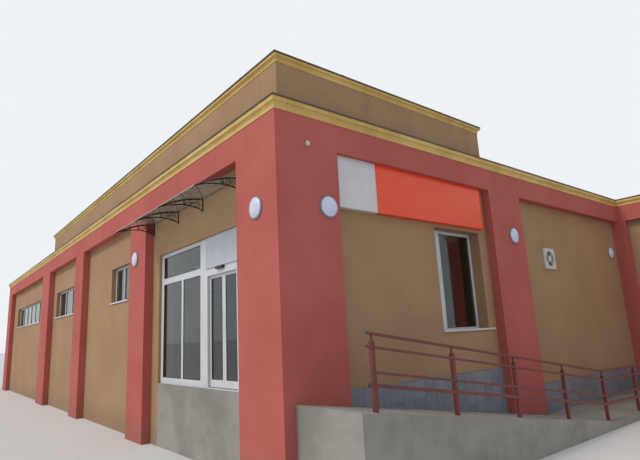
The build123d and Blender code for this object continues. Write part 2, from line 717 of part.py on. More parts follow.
with BuildPart() as access_ramp:
    for near, far, inner in ((W0, CORNER_Y, 0), (CORNER_Y, SIDE_PIL[0], PLINTH_X),
                             (SIDE_PIL[0], SIDE_PIL_END, 0), (SIDE_PIL_END, SIDE, PLINTH_X)):
        with BuildSketch(across(inner)) as profile:
            with BuildLine():
                Polyline((near, -GROUND), (far, -GROUND), (far, ramp_at(far)), (near, ramp_at(near)), close=True)
            make_face()
        extrude(profile.sketch, amount=RAMP_W - inner)
    for y in posts:
        with BuildSketch(Plane.XY.offset(ramp_at(y) - POST_SET)) as pocket:
            with Locations((RAIL_X, y)):
                RectangleRounded(POST_W, POST_W, POST_R)
        extrude(pocket.sketch, amount=2 * POST_SET, mode=Mode.SUBTRACT)
pieces["access_ramp"] = access_ramp


def rail(x, height, start, mode, section):
    """Rail at a height over the ramp that follows its fall."""
    ends = [start, SIDE_PIL_END, SIDE - RAIL_END]
    with BuildLine(across(x)) as run:
        Polyline([(y, ramp_at(y) + height) for y in ends])
    path = run.wire()
    with BuildSketch(Plane(origin=path @ 0, x_dir=(1, 0, 0), z_dir=path % 0)) as profile:
        RectangleRounded(*section)
    sweep(sections=profile.sketch, path=path, transition=Transition.RIGHT, mode=mode)


HAND_SECTION = (HAND, HAND, HAND_R)
with BuildPart() as railing_posts:
    for y in posts:
        with BuildSketch(Plane.XY.offset(ramp_at(y) - POST_SET)) as foot:
            with Locations((RAIL_X, y)):
                RectangleRounded(POST_W, POST_W, POST_R)
        extrude(foot.sketch, amount=POST_SET + POST_H)
        with BuildSketch(Plane.XY.offset(ramp_at(y) + POST_H)) as stem:
            with Locations((RAIL_X, y)):
                Rectangle(STEM, STEM)
        extrude(stem.sketch, amount=HAND_H - POST_H)
    rail(RAIL_X, HAND_H, HAND_START, Mode.SUBTRACT, HAND_SECTION)
pieces["railing_posts"] = railing_posts

with BuildPart() as railing_rails:
    rail(RAIL_X, HAND_H, HAND_START, Mode.ADD, HAND_SECTION)
    for height, depth, start in RAILS:
        rail(POST_X + RAIL_T / 2, height, start, Mode.ADD, (RAIL_T, depth, RAIL_R))
pieces["railing_rails"] = railing_rails

# Origin under the middle of the building at the lowest ground, and export
boxes = [piece.part.bounding_box() for piece in pieces.values()]
middle_x = (min(box.min.X for box in boxes) + max(box.max.X for box in boxes)) / 2
middle_y = (min(box.min.Y for box in boxes) + max(box.max.Y for box in boxes)) / 2
move = Location((-middle_x, -middle_y, GROUND))
print("moved by", move.position)
os.makedirs("parts", exist_ok=True)
for name, piece in pieces.items():
    solid = piece.part.moved(move)
    solid.label = name
    export_step(solid, f"parts/{name}.step")
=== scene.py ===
import bmesh
import bpy
import numpy as np
from mathutils import Matrix, Vector


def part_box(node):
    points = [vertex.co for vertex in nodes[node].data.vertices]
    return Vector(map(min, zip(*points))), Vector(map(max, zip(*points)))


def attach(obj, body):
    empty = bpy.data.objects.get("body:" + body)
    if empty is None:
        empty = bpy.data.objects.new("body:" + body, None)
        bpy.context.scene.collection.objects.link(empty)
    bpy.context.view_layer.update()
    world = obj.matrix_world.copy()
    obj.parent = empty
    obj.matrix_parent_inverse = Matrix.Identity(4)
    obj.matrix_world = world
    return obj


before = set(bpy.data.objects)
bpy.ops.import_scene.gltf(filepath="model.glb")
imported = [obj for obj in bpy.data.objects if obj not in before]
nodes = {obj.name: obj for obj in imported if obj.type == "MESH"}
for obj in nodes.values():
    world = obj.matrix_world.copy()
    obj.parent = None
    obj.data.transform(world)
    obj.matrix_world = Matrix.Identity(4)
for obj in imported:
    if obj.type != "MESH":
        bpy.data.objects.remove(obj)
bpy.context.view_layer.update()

# The walls are solid masonry with a coat of mineral render, floated by hand and painted ochre. They lie a
# hand's breadth behind the pilasters. The paint has weathered a little under the cornices, and rain splash
# has greyed it near the ground.

# Every place on the building is in metres from the corner of the shop floor, where the two facades meet.
GROUND = -1.3                 # the lowest ground
LEFT, REAR = -27.7, 18.5      # the far end of the front, and the rear face
SIDE, WING = 12.95, 5.6       # where the wing begins, and how far it stands out
PLASTER = 0.53                # from the outer faces to just short of the plaster in the rooms
CEILING = 4.34                # underside of the main roof
EAVES = 4.3                   # where the dirt under the lower cornice starts
low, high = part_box("corner_pilaster")
CORNER = np.array([high.x, low.y, low.z - GROUND])


def card(r, g, b):
    """A colour as a paint card gives it, 0 to 255 for red, green and blue, turned into linear light: a
    straight line near black, and a power of 2.4 above it."""
    c = np.array([r, g, b]) / 255
    c = np.where(c < 0.0405, c / 12.92, ((c + 0.055) / 1.055) ** 2.4)
    return (*c.tolist(), 1.0)


class Wire:
    """A number, colour or place on its way through a material. Sums on it add Math nodes."""

    def __init__(self, tree, socket=None):
        self.tree, self.socket = tree, socket

    def node(self, kind, settings=None, sockets=None, out=0):
        """Adds a node of any kind: its settings are set first, then its sockets get their values or links.
        The new wire comes from the output that has the number or the name."""
        made = self.tree.nodes.new("ShaderNode" + kind)
        for name, value in (settings or {}).items():
            setattr(made, name, value)
        for key, value in (sockets or {}).items():
            if isinstance(value, Wire):
                self.tree.links.new(value.socket, made.inputs[key])
            else:
                made.inputs[key].default_value = value
        return Wire(self.tree, made.outputs[out] if made.outputs else None)

    def maths(self, operation, a, b=0.0):
        return self.node("Math", {"operation": operation}, {0: a, 1: b})

    def __add__(self, other):
        return self.maths("ADD", self, other)

    def __sub__(self, other):
        return self.maths("SUBTRACT", self, other)

    def __rsub__(self, other):
        return self.maths("SUBTRACT", other, self)

    def __mul__(self, other):
        return self.maths("MULTIPLY", self, other)

    def __truediv__(self, other):
        return self.maths("DIVIDE", self, other)

    def __rtruediv__(self, other):
        return self.maths("DIVIDE", other, self)

    def __mod__(self, other):
        return self.maths("FLOORED_MODULO", self, other)

    def __rmod__(self, other):
        return self.maths("FLOORED_MODULO", other, self)

    def __lt__(self, other):
        return self.maths("LESS_THAN", self, other)

    def __gt__(self, other):
        return self.maths("GREATER_THAN", self, other)

    __radd__, __rmul__ = __add__, __mul__


def finish(name, **fixed):
    """A new material with its shader, and a wire that carries the place on the surface in metres."""
    made = bpy.data.materials.new(name)
    made.use_nodes = True
    shader = made.node_tree.nodes["Principled BSDF"]
    for socket, value in fixed.items():
        shader.inputs[socket.replace("_", " ")].default_value = value
    return made, shader, Wire(made.node_tree).node("TexCoord", out="Object")


def lay(shader, base, rough, height=None, depth=0.002, strength=0.6):
    """Joins a colour, a roughness and a relief in metres to a material's shader."""
    base.tree.links.new(base.socket, shader.inputs["Base Color"])
    if isinstance(rough, Wire):
        base.tree.links.new(rough.socket, shader.inputs["Roughness"])
    else:
        shader.inputs["Roughness"].default_value = rough
    if height is not None:
        bump = height.node("Bump", {}, {"Strength": strength, "Distance": depth, "Height": height})
        base.tree.links.new(bump.socket, shader.inputs["Normal"])


def noise(at, scale, detail=3.0, stretch=(1, 1, 1)):
    """Cloudy noise, 0 to 1, with so many clouds to the metre along each axis."""
    moved = at.node("VectorMath", {"operation": "MULTIPLY"}, {0: at, 1: tuple(scale * s for s in stretch)})
    return moved.node("TexNoise", {}, {"Vector": moved, "Scale": 1.0, "Detail": detail, "Roughness": 0.6})


def tint(share, a, b):
    """The share of colour b that lies over colour a."""
    return share.node("Mix", {"data_type": "RGBA"}, {0: share, 6: a, 7: b}, out=2)


def between(value, low, high, a=0.0, b=1.0):
    """a below low, b above high, and a soft step from one to the other."""
    return value.node(
        "MapRange", {"interpolation_type": "SMOOTHSTEP"}, {"Value": value, 1: low, 2: high, 3: a, 4: b}
    )


def along(at, k):
    """The place along x, y or z, as k is 0, 1 or 2."""
    return at.node("SeparateXYZ", {}, {0: at}, out=k)


def height_above(at, z):
    """How far the surface is above the shop floor, less z."""
    return along(at, 2) - (CORNER[2] + z)


def inside(at, z):
    """1 on the faces toward the rooms, up to z above the shop floor, and 0 outside: the product of limits on
    the place, for the hall or for the wing."""
    x, y, up = [along(at, k) for k in range(3)]
    x, y = x - CORNER[0], y - CORNER[1]
    hall = (x < -PLASTER) * (y > PLASTER)
    wing = (x < WING - PLASTER) * (y > SIDE + PLASTER)
    rooms = hall.maths("MAXIMUM", hall, wing) * (x > LEFT + PLASTER) * (y < REAR - PLASTER)
    return rooms * (up < CORNER[2] + z)


def painted_render(name, colour, pale, dark):
    """Painted render: soft patches from pale to dark, runs of dirt that start under the eaves and fade
    downward, splash near the ground, white plaster on the room side, and a relief of fine grain over broad
    float marks."""
    made, shader, at = finish(name, Specular_IOR_Level=0.25)
    patches = between(noise(at, 0.55, 4), 0.38, 0.66)
    base = tint(patches, card(*dark), card(*pale))
    base = tint(between(noise(at, 2.6, 5), 0.42, 0.7) * 0.35, base, card(*colour))
    runs = between(noise(at, 3.2, 4, (1, 1, 0.09)), 0.5, 0.74)
    below = between(height_above(at, EAVES), -1.5, 0.0)
    base = tint(runs * below * 0.16, base, card(*[c * 0.62 for c in colour]))
    splash = between(height_above(at, GROUND) + noise(at, 4, 4) * -0.5, -0.1, 0.42, 1, 0)
    base = tint(splash * 0.30, base, card(118, 106, 92))
    base = tint(inside(at, CEILING + 0.16), base, card(222, 220, 212))
    float_marks = noise(at, 7, 3)
    grain = noise(at, 150, 2)
    base = tint(between(grain, 0.55, 0.75) * 0.12, base, card(*[c * 0.72 for c in colour]))
    lay(shader, base, 0.86 + float_marks * 0.08, grain * 0.5 + float_marks * 1.4, 0.003, 0.5)
    return made


def coat(material, *names):
    """Gives whole nodes of the frame one material."""
    for name in names:
        nodes[name].data.materials.clear()
        nodes[name].data.materials.append(material)


ochre_render = painted_render("ochre_render", (168, 136, 104), (172, 140, 108), (164, 132, 101))
coat(ochre_render, "wall_front_left", "wall_front_head", "wall_front_right", "wall_side", "wall_wing_front",
     "wall_wing_side", "wall_rear", "wall_left", "attic_walls")

# The pilasters and the fascia that they carry are the same masonry, in a terracotta paint that has faded a
# little in the sun. The paint is thicker.
terracotta_render = painted_render("terracotta_render", (186, 100, 92), (190, 104, 96), (182, 96, 88))
coat(terracotta_render, "corner_pilaster", "front_pilasters", "side_pilaster", "wing_pilasters",
     "rear_pilasters", "left_pilasters", "fascia")


# The cornices are moulded lengths of two metres, set end to end and painted yellow. The joints between the
# lengths show as fine lines, and dust lies in the hollows.
def seams(at, pitch, offsets, thin, wide):
    """1 on lines across x and across y at every pitch, and 0 off them: a soft step from thin to wide on what
    is left of the place after whole pitches, and the larger of the two."""
    across = [between((along(at, k) + offsets[k]) % pitch, thin, wide, 1, 0) for k in (0, 1)]
    return across[0].maths("MAXIMUM", *across)


cornice_paint, shader, at = finish("cornice_paint", Specular_IOR_Level=0.35)
joint = seams(at, 2.0, (1.37, 0.71), 0.004, 0.009)
dust = between(noise(at, 3, 5, (1, 1, 0.4)), 0.4, 0.75)
yellow = tint(between(noise(at, 0.8, 3), 0.35, 0.7), card(206, 172, 98), card(222, 191, 118))
yellow = tint(dust * 0.3, yellow, card(160, 138, 92))
yellow = tint(joint * 0.6, yellow, card(110, 92, 60))
lay(shader, yellow, 0.6 + dust * 0.2, noise(at, 60, 3) * 0.3 - joint * 2.0, 0.002, 0.5)
coat(cornice_paint, "lower_cornice", "upper_cornice")

# A flashing of folded sheet metal, painted dark brown, covers each cornice. It turns down over the cornice's
# edge as a drip, and keeps the rain off the moulding.
sheet_metal, shader, at = finish("sheet_metal", Metallic=0.25, Specular_IOR_Level=0.5, Coat_Roughness=0.2)
weather = between(noise(at, 2.2, 5, (1, 1, 0.5)), 0.35, 0.72)
brown = tint(weather, card(66, 56, 46), card(88, 78, 66))
brown = tint(between(noise(at, 30, 3), 0.66, 0.78) * 0.5, brown, card(126, 116, 100))
lay(shader, brown, 0.38 + weather * 0.22, noise(at, 3, 2) + noise(at, 90, 2) * 0.1, 0.004, 0.35)
coat(sheet_metal, "lower_flashing", "upper_flashing")


# Where two lengths of flashing meet, about every two metres, a strip of the same sheet is folded over the
# joint and pinched under the drip edge. Like most trim on the building, it is one section carried along.
def grid(rows, columns, rows_close=False):
    """Quads between the neighbours in a table of points. Every row is a ring, and the last row joins the
    first where it says so."""
    i = np.arange(rows if rows_close else rows - 1)[:, None]
    j = np.arange(columns)[None, :]
    down, next_to = (i + 1) % rows, (j + 1) % columns
    corners = [i * columns + j, i * columns + next_to, down * columns + next_to, down * columns + j]
    return np.stack(np.broadcast_arrays(*corners), -1).reshape(-1, 4)


def lid(first, count):
    """Quads that fan out from the first point of a ring with an even number of points."""
    k = np.arange(1, count - 1, 2)
    return first + np.stack([0 * k, k, k + 1, k + 2], -1)


def carried(path, section, across):
    """A section carried along a path: its point (a, b) lies a along the direction across and b along the
    path's normal, which is square to both. The ends are closed."""
    path, across = np.array(path, float), np.array(across, float)
    normal = np.cross(across, np.gradient(path, axis=0))
    normal /= np.linalg.norm(normal, axis=1, keepdims=True)
    a, b = np.array(section, float).T[:, None, :, None]
    points = path[:, None] + a * across + b * normal[:, None]
    count = len(section)
    faces = [grid(len(path), count), lid(0, count), lid((len(path) - 1) * count, count)]
    return points.reshape(-1, 3), np.vstack(faces)


def placed(shape, places, across=(1, 0, 0), up=(0, 1, 0), out=(0, 0, 1)):
    """Copies of a shape at one or more places: each of its points (u, v, w) goes u across, v up and w out."""
    points, faces = shape
    places = np.array(places, float).reshape(-1, 1, 3)
    moved = places + points @ np.array([across, up, out], float)
    step = len(points) * np.arange(len(places))[:, None, None]
    return moved.reshape(-1, 3), (faces + step).reshape(-1, 4)


def make(name, body, material, slot, *shapes):
    """One piece from shapes in metres from the corner of the shop floor. Doubles are merged and the faces
    turned outward, and edges sharper than 35 degrees stay crisp."""
    starts = np.cumsum([0] + [len(points) for points, faces in shapes])
    points = np.vstack([points for points, faces in shapes]) + CORNER
    faces = np.vstack([shape[1] + start for shape, start in zip(shapes, starts)])
    mesh = bpy.data.meshes.new(name)
    mesh.from_pydata(points.tolist(), [], faces.tolist())
    draft = bmesh.new()
    draft.from_mesh(mesh)
    bmesh.ops.remove_doubles(draft, verts=draft.verts, dist=1e-5)
    bmesh.ops.recalc_face_normals(draft, faces=draft.faces)
    draft.to_mesh(mesh)
    draft.free()
    mesh.polygons.foreach_set("use_smooth", [True] * len(mesh.polygons))
    mesh.set_sharp_from_angle(angle=0.61)
    mesh.materials.append(material)
    piece = bpy.data.objects.new(name, mesh)
    bpy.context.scene.collection.objects.link(piece)
    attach(piece, body)


def saddles(outline, inner, reach, top, pitch=2.0, width=0.07, sheet=0.002, turned_down=0.030):
    """Strips across an outline's flashing: the fold's section, square to the wall, carried along the wall for
    the strip's width, and repeated along each side of the outline at equal steps."""
    edge, drip = reach + sheet, top - turned_down
    fold = [(inner, top), (reach, top), (reach, drip), (edge, drip), (edge, top + sheet),
            (inner, top + sheet)]
    shapes = []
    for start, end in zip(outline, outline[1:] + outline[:1]):
        start, end = np.array([*start, 0.0]), np.array([*end, 0.0])
        length = np.linalg.norm(end - start)
        run = (end - start) / length
        strip = carried([-run * width / 2, run * width / 2], fold, np.cross(run, [0, 0, 1]))
        count = int(length / pitch)
        steps = (np.arange(count) + 0.5) / count
        shapes.append(placed(strip, start + steps[:, None] * (end - start)))
    return shapes


WALL = 0.2                              # how far the walls lie behind the pilasters
ATTIC_LEFT, ATTIC_REAR = -16.9, 5.9     # of the raised front block
hall = [(LEFT, 0), (0, 0), (0, SIDE), (WING, SIDE), (WING, REAR), (LEFT, REAR)]
attic = [(ATTIC_LEFT, WALL), (-WALL, WALL), (-WALL, ATTIC_REAR), (ATTIC_LEFT, ATTIC_REAR)]
make("flashing_laps", "building", sheet_metal, "sheet_metal",
     *saddles(hall, inner=-0.19, reach=0.076, top=4.552),
     *saddles(attic, inner=-0.24, reach=0.070, top=5.458))

# The flat roofs carry a bitumen membrane with slate granules, rolled out in sheets one metre wide that lap
# each other and are torched down. Standing rain has darkened it in soft patches.
ROOF = 4.54
membrane, shader, at = finish("roof_membrane", Specular_IOR_Level=0.3)
over_sheet = along(at, 0) % 1.0
lap = between(over_sheet, 0.0, 0.012) * between(over_sheet, 0.09, 0.1, 1, 0)
ponding = between(noise(at, 0.35, 4), 0.45, 0.62)
slate = tint(ponding, card(110, 112, 114), card(100, 101, 102))
slate = tint(between(noise(at, 210, 2), 0.5, 0.72) * 0.45, slate, card(150, 152, 154))
slate = tint(lap * 0.35, slate, card(62, 62, 62))
slate = tint(inside(at, CEILING + 0.02), slate, card(214, 214, 208))
lay(shader, slate, 0.88, lap * 3.0 + noise(at, 120, 2), 0.002, 0.6)
coat(membrane, "main_roof", "high_roof")


# The membrane is dressed up the walls of the raised block over a wedge, so that it doesn't crack in the
# corner. A folded metal bar clamps its upper edge to the wall.
def mitred(sides, section, solid=True):
    """Rectangles (left, right, low, high) with a section carried round their edge: its point (inset, rise)
    gives a ring that lies inset within the rectangle and rise above its plane. A solid is closed over its
    first and last ring, a trim is closed along its section."""
    left, right, low, high = np.array(sides, float).reshape(-1, 4).T[:, :, None]
    inset, rise = np.array(section, float).T[:, None, :]
    u = np.stack([left + inset, right - inset, right - inset, left + inset], -1)
    v = np.stack([low + inset, low + inset, high - inset, high - inset], -1)
    points = np.stack([u, v, rise[..., None] + 0 * u], -1)
    count, rings = u.shape[:2]
    faces = grid(rings, 4, rows_close=not solid)
    if solid:
        faces = np.vstack([faces, lid(0, 4), lid(4 * rings - 4, 4)])
    step = 4 * rings * np.arange(count)[:, None, None]
    return points.reshape(-1, 3), (faces + step).reshape(-1, 4)


raised = (ATTIC_LEFT, -WALL, WALL, ATTIC_REAR)
upstand = mitred(raised, [(0, 0), (-0.07, 0), (-0.012, 0.05), (-0.006, 0.13), (0, 0.13)], solid=False)
make("roof_upstand", "building", membrane, "roof_membrane", placed(upstand, (0, 0, ROOF)))
clamp = mitred(raised, [(0, 0.12), (-0.009, 0.12), (-0.010, 0.148), (0, 0.151)], solid=False)
make("clamp_bar", "building", sheet_metal, "sheet_metal", placed(clamp, (0, 0, ROOF)))

# The plinth of the side bays is clad in polished grey stoneware on a mortar bed. Cover tiles lie along its
# top, and its lowest tiles are cut to the fall of the ramp. No two have quite the same shade: each one's
# place in its row and column picks it.
TILE, GAP = 0.30, 0.005
FIRST_JOINT = 2.29                 # one upright joint of the pattern
PILASTER = (5.76, 7.06)            # the side pilaster, from and to
bays = ((1.25, PILASTER[0], -0.03), (PILASTER[1], SIDE, -0.53))     # from, to, and the plinth's top
stoneware, shader, at = finish("stoneware", Specular_IOR_Level=0.5)
cloud = between(noise(at, 9, 5), 0.35, 0.68)
grey = tint(cloud, card(110, 114, 128), card(126, 130, 143))
column = along(at, 1) - (CORNER[1] + FIRST_JOINT)
second_bay = column > PILASTER[0] - FIRST_JOINT
row = height_above(at, bays[0][2]) + second_bay * (bays[0][2] - bays[1][2])
cell = at.node("CombineXYZ", {}, {k: v.maths("FLOOR", v / TILE) for k, v in enumerate((column, row))})
shade = cell.node("TexWhiteNoise", {"noise_dimensions": "2D"}, {"Vector": cell})
grey = tint(shade * 0.55, grey, card(146, 150, 162))
grey = tint(between(noise(at, 160, 2), 0.56, 0.68) * 0.3, grey, card(84, 87, 97))
lay(shader, grey, 0.28 + cloud * 0.16, noise(at, 160, 2), 0.0004, 0.3)
mortar, shader, at = finish("mortar", Specular_IOR_Level=0.2)
sand = tint(noise(at, 25, 4), card(146, 145, 142), card(162, 160, 156))
lay(shader, sand, 0.9, noise(at, 200, 3), 0.001, 0.6)
coat(mortar, "plinth_cladding")


def fall(y):
    """Height of the ramp beside the wall: a steady fall to the side pilaster, then nearly level."""
    return np.interp(y, [WALL, PILASTER[1], SIDE], [-0.085, -1.1483, -1.22])


tiles, ledge = [], []
for near, far, top in bays:
    joints = FIRST_JOINT + TILE * np.arange(-40, 40)
    joints = np.concatenate([[near], joints[(joints > near + 0.03) & (joints < far - 0.03)], [far]])
    left, right = joints[:-1] + GAP / 2, joints[1:] - GAP / 2
    for course in range(4):
        head = top - course * TILE - GAP / 2
        foot = np.maximum(head - TILE + GAP, np.stack([fall(left), fall(right)]) + 0.003)
        keep = foot.max(0) < head - 0.012
        blanks = np.stack([left, right, foot.min(0), 0 * left + head], -1)[keep]
        points, faces = mitred(blanks, [(0, 0), (0, 0.004), (0.0015, 0.0055)])
        points = points.reshape(-1, 3, 4, 3)
        points[..., :2, 1] += (foot - foot.min(0)).T[keep][:, None]
        tiles.append((points.reshape(-1, 3), faces))
    covers = np.stack([left, right, 0 * left, 0 * left + 0.0375], -1)
    strip = mitred(covers, [(0, 0), (0, 0.006), (0.0015, 0.0075)])
    ledge.append(placed(strip, (-WALL, 0, top), across=(0, 1, 0), up=(1, 0, 0)))
on_side = {"across": (0, 1, 0), "up": (0, 0, 1), "out": (1, 0, 0)}
make("plinth_tiles", "building", stoneware, "plinth_tile",
     *[placed(cut, (-0.17, 0, 0), **on_side) for cut in tiles], *ledge)

# The ramp and the footing of the storefront are cast concrete, struck off level and stained in clouds by the
# rain. The ramp has a broomed face across its run.
concrete, shader, at = finish("concrete", Specular_IOR_Level=0.3)
stain = between(noise(at, 1.1, 5), 0.38, 0.7)
cast = tint(stain, card(158, 155, 148), card(136, 133, 127))
cast = tint(between(noise(at, 45, 3), 0.62, 0.72) * 0.5, cast, card(104, 101, 96))
broom = noise(at, 130, 2, (0.06, 1, 1))
lay(shader, cast, 0.82 + stain * 0.1, broom + noise(at, 12, 4), 0.003, 0.6)
coat(concrete, "entrance_footing", "access_ramp")

# The shop floor is laid with pale stoneware slabs, 60 cm square, bedded on the cast slab. The joints between
# them are grouted grey and lie a little lower.
floor_tile, shader, at = finish("floor_tile", Specular_IOR_Level=0.5)
grout = seams(at, 0.6, (30.0, 30.0), 0.003, 0.006)
laid = tint(between(noise(at, 1.7, 4), 0.4, 0.65), card(196, 191, 180), card(182, 176, 164))
laid = tint(grout * 0.7, laid, card(110, 106, 100))
lay(shader, laid, 0.3 + grout * 0.4, noise(at, 30, 3) * 0.1 - grout, 0.001, 0.5)
coat(floor_tile, "floor_slab")

# The storefront is made of powder-coated aluminium sections, and the windows in the walls of white plastic
# ones. Both are mitred at their corners, and rain has left a little dust on them.
white_coat, shader, at = finish("white_coat", Specular_IOR_Level=0.5)
dusty = between(noise(at, 4, 5, (1, 1, 0.3)), 0.45, 0.75)
white = tint(dusty * 0.5, card(208, 209, 215), card(184, 183, 179))
lay(shader, white, 0.32 + dusty * 0.2, noise(at, 260, 2), 0.0006, 0.3)
coat(white_coat, "storefront_frame", "door_leaf_left", "door_leaf_right", "front_window_frames",
     "side_window_frame", "side_window_sill")

# The panes are clear float glass with a faint green cast, set into the sections from inside. A film of dust
# dulls them in streaks.
glass, shader, at = finish("glass", Transmission_Weight=1.0, IOR=1.45, Specular_IOR_Level=0.3)
film = between(noise(at, 3, 5, (1, 1, 0.4)), 0.5, 0.8)
lay(shader, tint(film * 0.3, card(178, 196, 184), card(170, 180, 168)), 0.01 + film * 0.05)
coat(glass, "storefront_glass", "door_glass_left", "door_glass_right", "front_window_glass",
     "side_window_glass")


# Every pane lies in a black rubber gasket, which is pressed in between the bevel of the section and the
# glass. In the storefront and the door leaves its lip lies against the opening.
def clouded(name, under, over, clouds, rough, grain, depth, strength=0.3, **fixed):
    """A smooth moulded, rolled or sprayed finish: noise with so many clouds to the metre, and so much detail,
    lays one colour over the other, and fine noise with so many grains to the metre gives the relief."""
    made, shader, at = finish(name, **fixed)
    colour = tint(noise(at, *clouds), card(*under), card(*over))
    lay(shader, colour, rough, noise(at, grain, 2), depth, strength)
    return made


def gasket(panes, depth):
    """Trim round panes that lie at a depth behind the section: a lip against the opening and a toe on the
    glass."""
    section = [(0, 0), (0, 0.006), (0.004, 0.0065), (0.009, 0.002), (0.009, 0)]
    return mitred(panes, [(inset, rise - depth) for inset, rise in section], solid=False)


STOREFRONT_Y, LEAF_Y = 0.26, 0.311      # outer faces of the storefront and of its leaves
rubber = clouded("rubber", (26, 26, 27), (40, 40, 41), (30, 3), 0.55, 300, 0.0003, Specular_IOR_Level=0.4)
storefront = [(-5.01, -4.045, 0.11, 2.11), (-3.95, -3.15, 0.11, 2.11), (-5.01, -3.15, 2.25, 2.72)]
leaves = {"left_leaf": (-2.845, -2.2805), "right_leaf": (-2.2745, -1.71)}
on_front = {"across": (1, 0, 0), "up": (0, 0, 1), "out": (0, -1, 0)}
make("storefront_gaskets", "building", rubber, "black_plastic",
     placed(gasket(storefront, 0.0105), (0, STOREFRONT_Y, 0), **on_front))
for body, (left, right) in leaves.items():
    pane = (left + 0.06, right - 0.06, 0.14, 1.995)
    make(body + "_gasket", body, rubber, "black_plastic",
         placed(gasket(pane, 0.012), (0, LEAF_Y, 0), **on_front))

# The windows in the walls have white plastic sections. A raised lip runs round every light, with the gasket
# inside it.
SASH = 0.06
window_rows = ((-8.75, -7.25, 2), (-15.9, -12.9, 3), (-25.4, -19.1, 6))     # from, to, and how many lights
front_lights = []
for left, right, count in window_rows:
    pitch = (right - left - SASH) / count
    starts = left + SASH + pitch * np.arange(count)
    front_lights += [(near, near + pitch - SASH, 2.03, 2.89) for near in starts]
side_lights = [(3.98, 4.23, 0.85, 2.80), (4.37, 5.40, 0.85, 2.80)]
lip = [(-0.024, 0), (-0.024, 0.004), (-0.021, 0.006), (-0.010, 0.006), (-0.0085, 0.004), (-0.0085, 0)]
for name, lights, place, facing in (("front_window", front_lights, (0, 0.32, 0), on_front),
                                    ("side_window", side_lights, (-0.44, 0, 0), on_side)):
    make(name + "_lips", "building", white_coat, "white_frame",
         placed(mitred(lights, lip, solid=False), place, **facing))
    make(name + "_gaskets", "building", rubber, "black_plastic",
         placed(gasket(lights, 0.023), place, **facing))

# A plastic cap is pushed over each end of every sill board, to keep the rain out of it. It follows the
# board's nose and its drip.
cap = [(-0.036, 0.0005), (-0.036, 0.0235), (0.001, 0.0235), (0.001, -0.0145), (-0.002, -0.0165),
       (-0.012, -0.0165)]


def cap_at(end, turn, run, out):
    """The cap's section, carried 7 mm along the board's run over its end."""
    run = np.array(run)
    return carried([end - 0.004 * turn * run, end + 0.003 * turn * run], cap, out)


ends = [((-0.165, y, 0.790), turn) for y, turn in ((3.92, -1), (5.66, 1))]
make("side_sill_caps", "building", white_coat, "white_sill",
     *[cap_at(end, turn, run=(0, 1, 0), out=(1, 0, 0)) for end, turn in ends])
ends = [((x, 0.165, 1.970), turn) for left, right, count in window_rows
        for x, turn in ((left, -1), (right, 1))]
make("front_sill_caps", "building", white_coat, "white_sill",
     *[cap_at(end, turn, run=(1, 0, 0), out=(0, -1, 0)) for end, turn in ends])

# Brush seals of black nylon close the gap where the leaves meet and the gap under them. Each leaf carries its
# own, pushed into a groove of its sections.
BRUSH_Y = LEAF_Y + 0.020
for body, (left, right) in leaves.items():
    meet, turn = (right, 1) if body == "left_leaf" else (left, -1)
    tuft = [(0, -0.005), (0.0018 * turn, -0.004), (0.002 * turn, 0.004), (0, 0.005)]
    upright = carried([(meet, BRUSH_Y, z) for z in (0.012, 1.0, 2.05)], tuft, (1, 0, 0))
    tuft = [(-0.006, 0.0), (-0.005, -0.0055), (0.005, -0.0055), (0.006, 0.0)]
    under = carried([(x, 0, 0) for x in (left + 0.01, right - 0.01)], tuft, (0, 1, 0))
    make(body + "_brushes", body, rubber, "black_plastic", upright, placed(under, (0, BRUSH_Y, 0.0102)))

# The panel over the doors is a bare painted sheet in a thin metal edging. Small screws along its upper and
# lower side hold the edging, and rain has left faint runs on the sheet.
header_paint, shader, at = finish("header_paint", Specular_IOR_Level=0.45)
rain = between(noise(at, 5, 5, (1, 1, 0.15)), 0.45, 0.75)
lilac = tint(rain * 0.5, card(186, 187, 198), card(170, 169, 174))
lay(shader, lilac, 0.4 + rain * 0.15, noise(at, 4, 2), 0.001, 0.2)
coat(header_paint, "header_panel")


def turned(profile, sides=24, ring=False):
    """A profile of (radius, rise) turned about its axis: each point goes round in a circle at its own rise.
    The profile of a ring closes on itself."""
    radius, rise = np.array(profile, float).T[:, :, None]
    angle = np.arange(sides) * 2 * np.pi / sides
    points = np.stack([radius * np.cos(angle), radius * np.sin(angle), rise + 0 * angle], -1)
    return points.reshape(-1, 3), grid(len(profile), sides, rows_close=ring)


def screw(radius, height):
    """A low domed head on a thin washer."""
    return turned([(0, 0), (1.5 * radius, 0), (1.5 * radius, 0.2 * height), (radius, 0.25 * height),
                   (0.8 * radius, 0.75 * height), (0.4 * radius, height), (0, height)], sides=12)


PANEL_Y = 0.236
zinc = clouded("zinc", (150, 152, 154), (176, 178, 180), (40, 4), 0.42, 200, 0.0003, Metallic=0.8)
edging = mitred((-2.87, -1.55, 2.19, 2.8), [(0.007, 0), (0.007, 0.002), (0.008, 0.0028), (0.019, 0.0028),
                                            (0.020, 0.002), (0.020, 0)], solid=False)
make("panel_edging", "building", white_coat, "white_frame", placed(edging, (0, PANEL_Y, 0), **on_front))
heads = [(x, PANEL_Y - 0.0028, z) for z in (2.2035, 2.7865) for x in np.linspace(-2.80, -1.62, 5)]
make("panel_screws", "building", zinc, "grey_case", placed(screw(0.004, 0.003), heads, **on_front))

